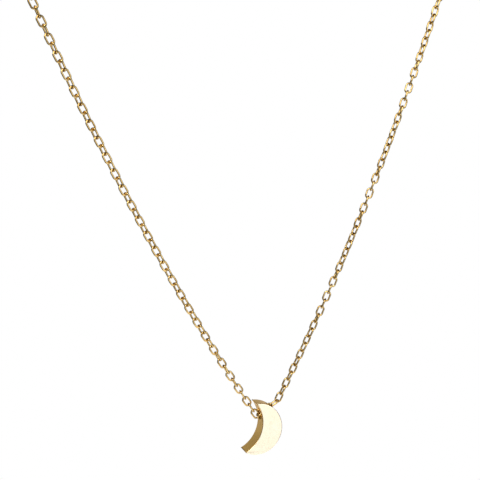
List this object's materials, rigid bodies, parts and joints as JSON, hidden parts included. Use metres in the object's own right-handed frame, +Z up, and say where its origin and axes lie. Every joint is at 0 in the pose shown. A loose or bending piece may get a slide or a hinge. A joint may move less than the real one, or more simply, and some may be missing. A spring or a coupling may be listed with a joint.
{
  "type": "pendant necklace",
  "caption": "Fine oval cable chain hanging in a V with a thick crescent moon bead strung on it, a lobster clasp and an extender chain at the nape.",
  "frame": {"origin": "middle of the neck loop, where the wearer's neck passes", "axes": "+Z up, pendant at the front towards -Y, +X to the viewer's right as seen from the front"},
  "size_m": [0.097, 0.0809, 0.1631],
  "materials": {
    "plated_chain": "polished",
    "plated_moon": "polished",
    "plated_fittings": "polished",
    "spring_steel": "bright"
  },
  "bodies": {
    "neck_chain": {"neck_left_1": "plated_chain", "neck_left_2": "plated_chain", "neck_left_3": "plated_chain", "neck_left_4": "plated_chain", "neck_right_1": "plated_chain", "neck_right_2": "plated_chain", "neck_right_3": "plated_chain", "neck_right_4": "plated_chain", "jump_ring": "plated_fittings", "clasp_body": "plated_fittings", "lever_pin": "plated_fittings", "lever_spring": "spring_steel", "end_ring": "plated_fittings"},
    "front_row_1": {"front_left_1": "plated_chain", "front_right_1": "plated_chain"},
    "front_row_2": {"front_left_2": "plated_chain", "front_right_2": "plated_chain"},
    "front_row_3": {"front_left_3": "plated_chain", "front_right_3": "plated_chain"},
    "front_row_4": {"front_left_4": "plated_chain", "front_right_4": "plated_chain", "pendant_links": "plated_chain"},
    "pendant": {"crescent_moon": "plated_moon"},
    "lever": {"clasp_lever": "plated_fittings"},
    "extender_top": {"extender_upper": "plated_fittings"},
    "extender_mid": {"extender_middle": "plated_fittings"},
    "extender_end": {"extender_lower": "plated_fittings"},
    "drop": {"end_drop": "plated_fittings"}
  },
  "joints": [
    {"name": "front_fold_1", "type": "hinge", "parent": "neck_chain", "child": "front_row_1", "pos_m": [0, -0.03764, -0.06027], "axis": [-1, 0, 0], "range_deg": [-10, 30]},
    {"name": "front_fold_2", "type": "hinge", "parent": "front_row_1", "child": "front_row_2", "pos_m": [0, -0.03764, -0.07499], "axis": [-1, 0, 0], "range_deg": [-10, 30]},
    {"name": "front_fold_3", "type": "hinge", "parent": "front_row_2", "child": "front_row_3", "pos_m": [0, -0.03764, -0.08951], "axis": [-1, 0, 0], "range_deg": [-10, 30]},
    {"name": "front_fold_4", "type": "hinge", "parent": "front_row_3", "child": "front_row_4", "pos_m": [0, -0.03764, -0.10379], "axis": [-1, 0, 0], "range_deg": [-10, 30]},
    {"name": "pendant_swing", "type": "hinge", "parent": "front_row_4", "child": "pendant", "pos_m": [0.00077, -0.03764, -0.11886], "axis": [0.8658, 0, 0.5004], "range_deg": [-35, 35]},
    {"name": "lever_open", "type": "hinge", "parent": "neck_chain", "child": "lever", "pos_m": [0.00056, 0.03764, 0.03511], "axis": [0, 1, 0], "range_deg": [0, 28], "stiffness_Nm_per_rad": 0.00002, "springref_deg": -11.46},
    {"name": "extender_swing", "type": "hinge", "parent": "neck_chain", "child": "extender_top", "pos_m": [0.00462, 0.03949, 0.03325], "axis": [1, 0, 0], "range_deg": [-10, 35]},
    {"name": "extender_bend_1", "type": "hinge", "parent": "extender_top", "child": "extender_mid", "pos_m": [0.00462, 0.03949, 0.01701], "axis": [1, 0, 0], "range_deg": [-30, 30]},
    {"name": "extender_bend_2", "type": "hinge", "parent": "extender_mid", "child": "extender_end", "pos_m": [0.00462, 0.03949, 0.00045], "axis": [1, 0, 0], "range_deg": [-30, 30]},
    {"name": "drop_swing", "type": "hinge", "parent": "extender_end", "child": "drop", "pos_m": [0.00462, 0.03949, -0.01611], "axis": [1, 0, 0], "range_deg": [-40, 40]}
  ]
}
